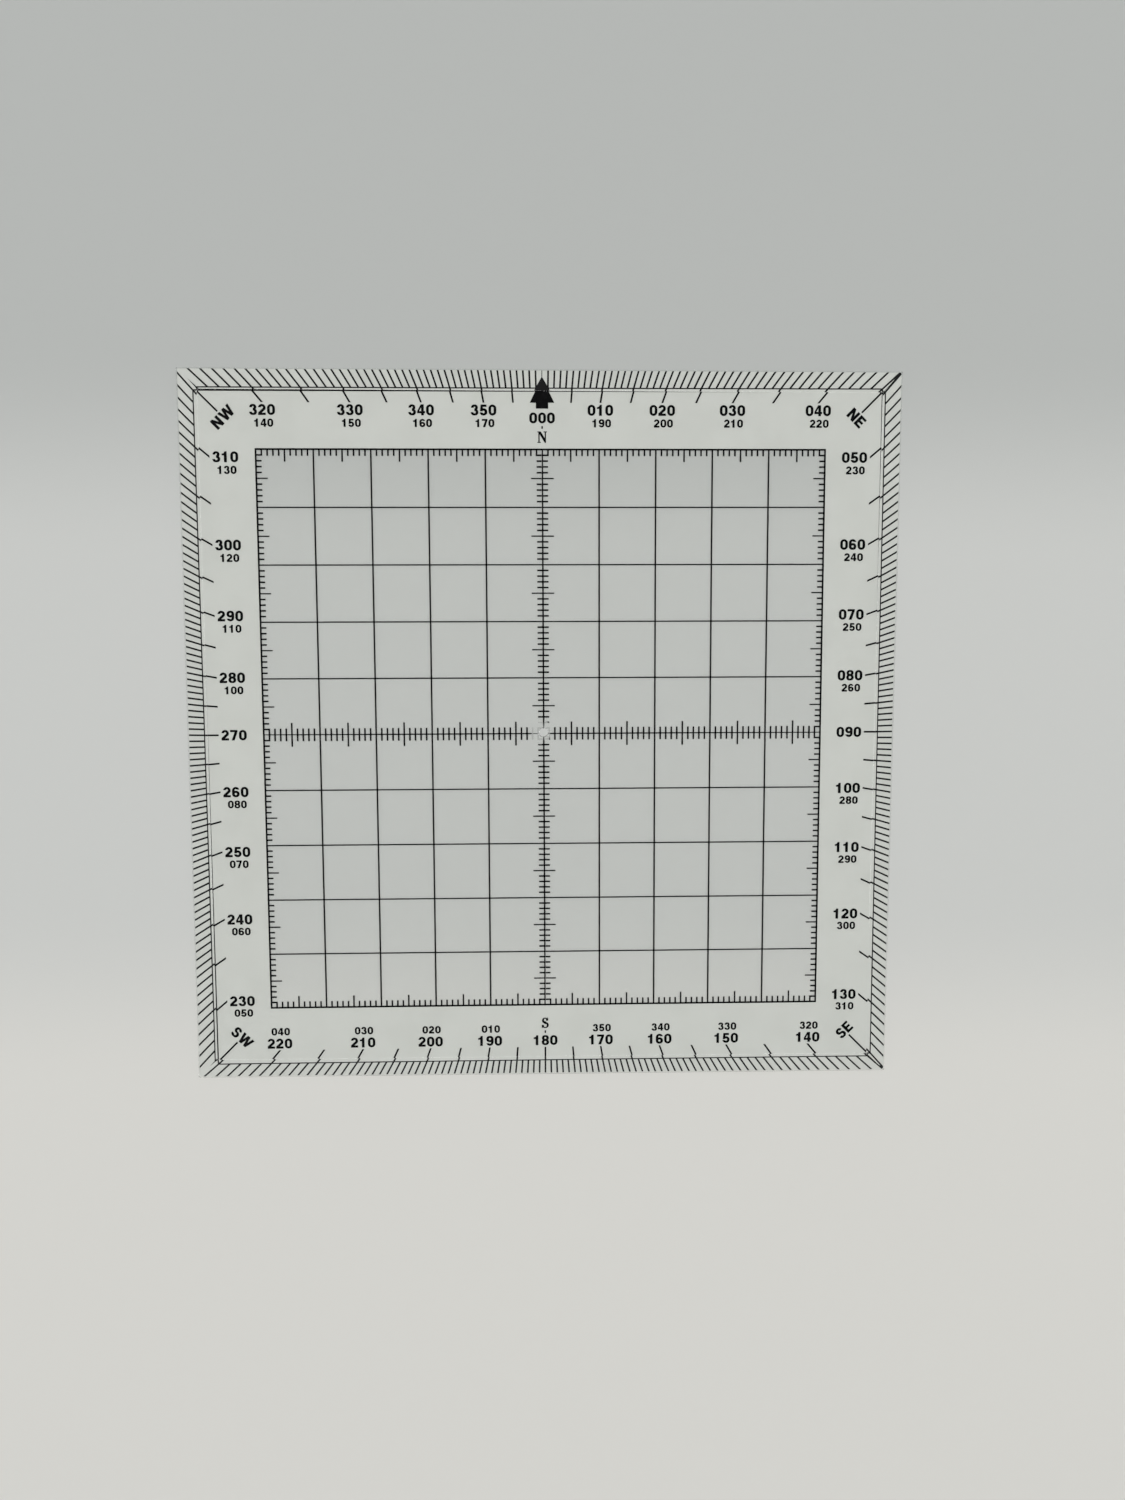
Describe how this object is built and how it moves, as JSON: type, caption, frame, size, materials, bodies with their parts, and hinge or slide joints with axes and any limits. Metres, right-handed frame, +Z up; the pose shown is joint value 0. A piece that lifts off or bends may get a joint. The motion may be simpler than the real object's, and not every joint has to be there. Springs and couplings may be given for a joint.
{
  "type": "square chart protractor",
  "caption": "Flat clear square chart protractor with bevelled edges, a degree scale round its rim, a ruled grid in its middle and a small centre hole.",
  "frame": {"origin": "on the axis of the centre hole, at the lowest face of the print, which the plate lies on", "axes": "+Z up through the plate towards the reader, +Y towards the arrow at the north mark, +X towards the east mark"},
  "size_m": [0.127, 0.127, 0.0031],
  "materials": {
    "clear_acrylic": "clear and polished, with fine wear scratches",
    "pale_ink": "opaque screen print",
    "black_ink": "opaque screen print, worn near the hole"
  },
  "bodies": {
    "root": {"plate": "clear_acrylic", "border_north": "pale_ink", "border_east": "pale_ink", "border_south": "pale_ink", "border_west": "pale_ink", "square_line": "black_ink", "degree_marks": "black_ink", "five_degree_marks": "black_ink", "ten_degree_marks": "black_ink", "corner_lines": "black_ink", "north_arrow": "black_ink", "bearings_north": "black_ink", "bearings_east": "black_ink", "bearings_south": "black_ink", "bearings_west": "black_ink", "reciprocals_north": "black_ink", "reciprocals_east": "black_ink", "reciprocals_south": "black_ink", "reciprocals_west": "black_ink", "corner_letters": "black_ink", "north_letter": "black_ink", "south_letter": "black_ink", "window_outline": "black_ink", "grid_lines_north": "black_ink", "grid_lines_east": "black_ink", "meridian": "black_ink", "east_west_line": "black_ink", "meridian_ticks": "black_ink", "east_west_line_ticks": "black_ink", "edge_ticks_north": "black_ink", "edge_ticks_east": "black_ink"}
  },
  "joints": []
}
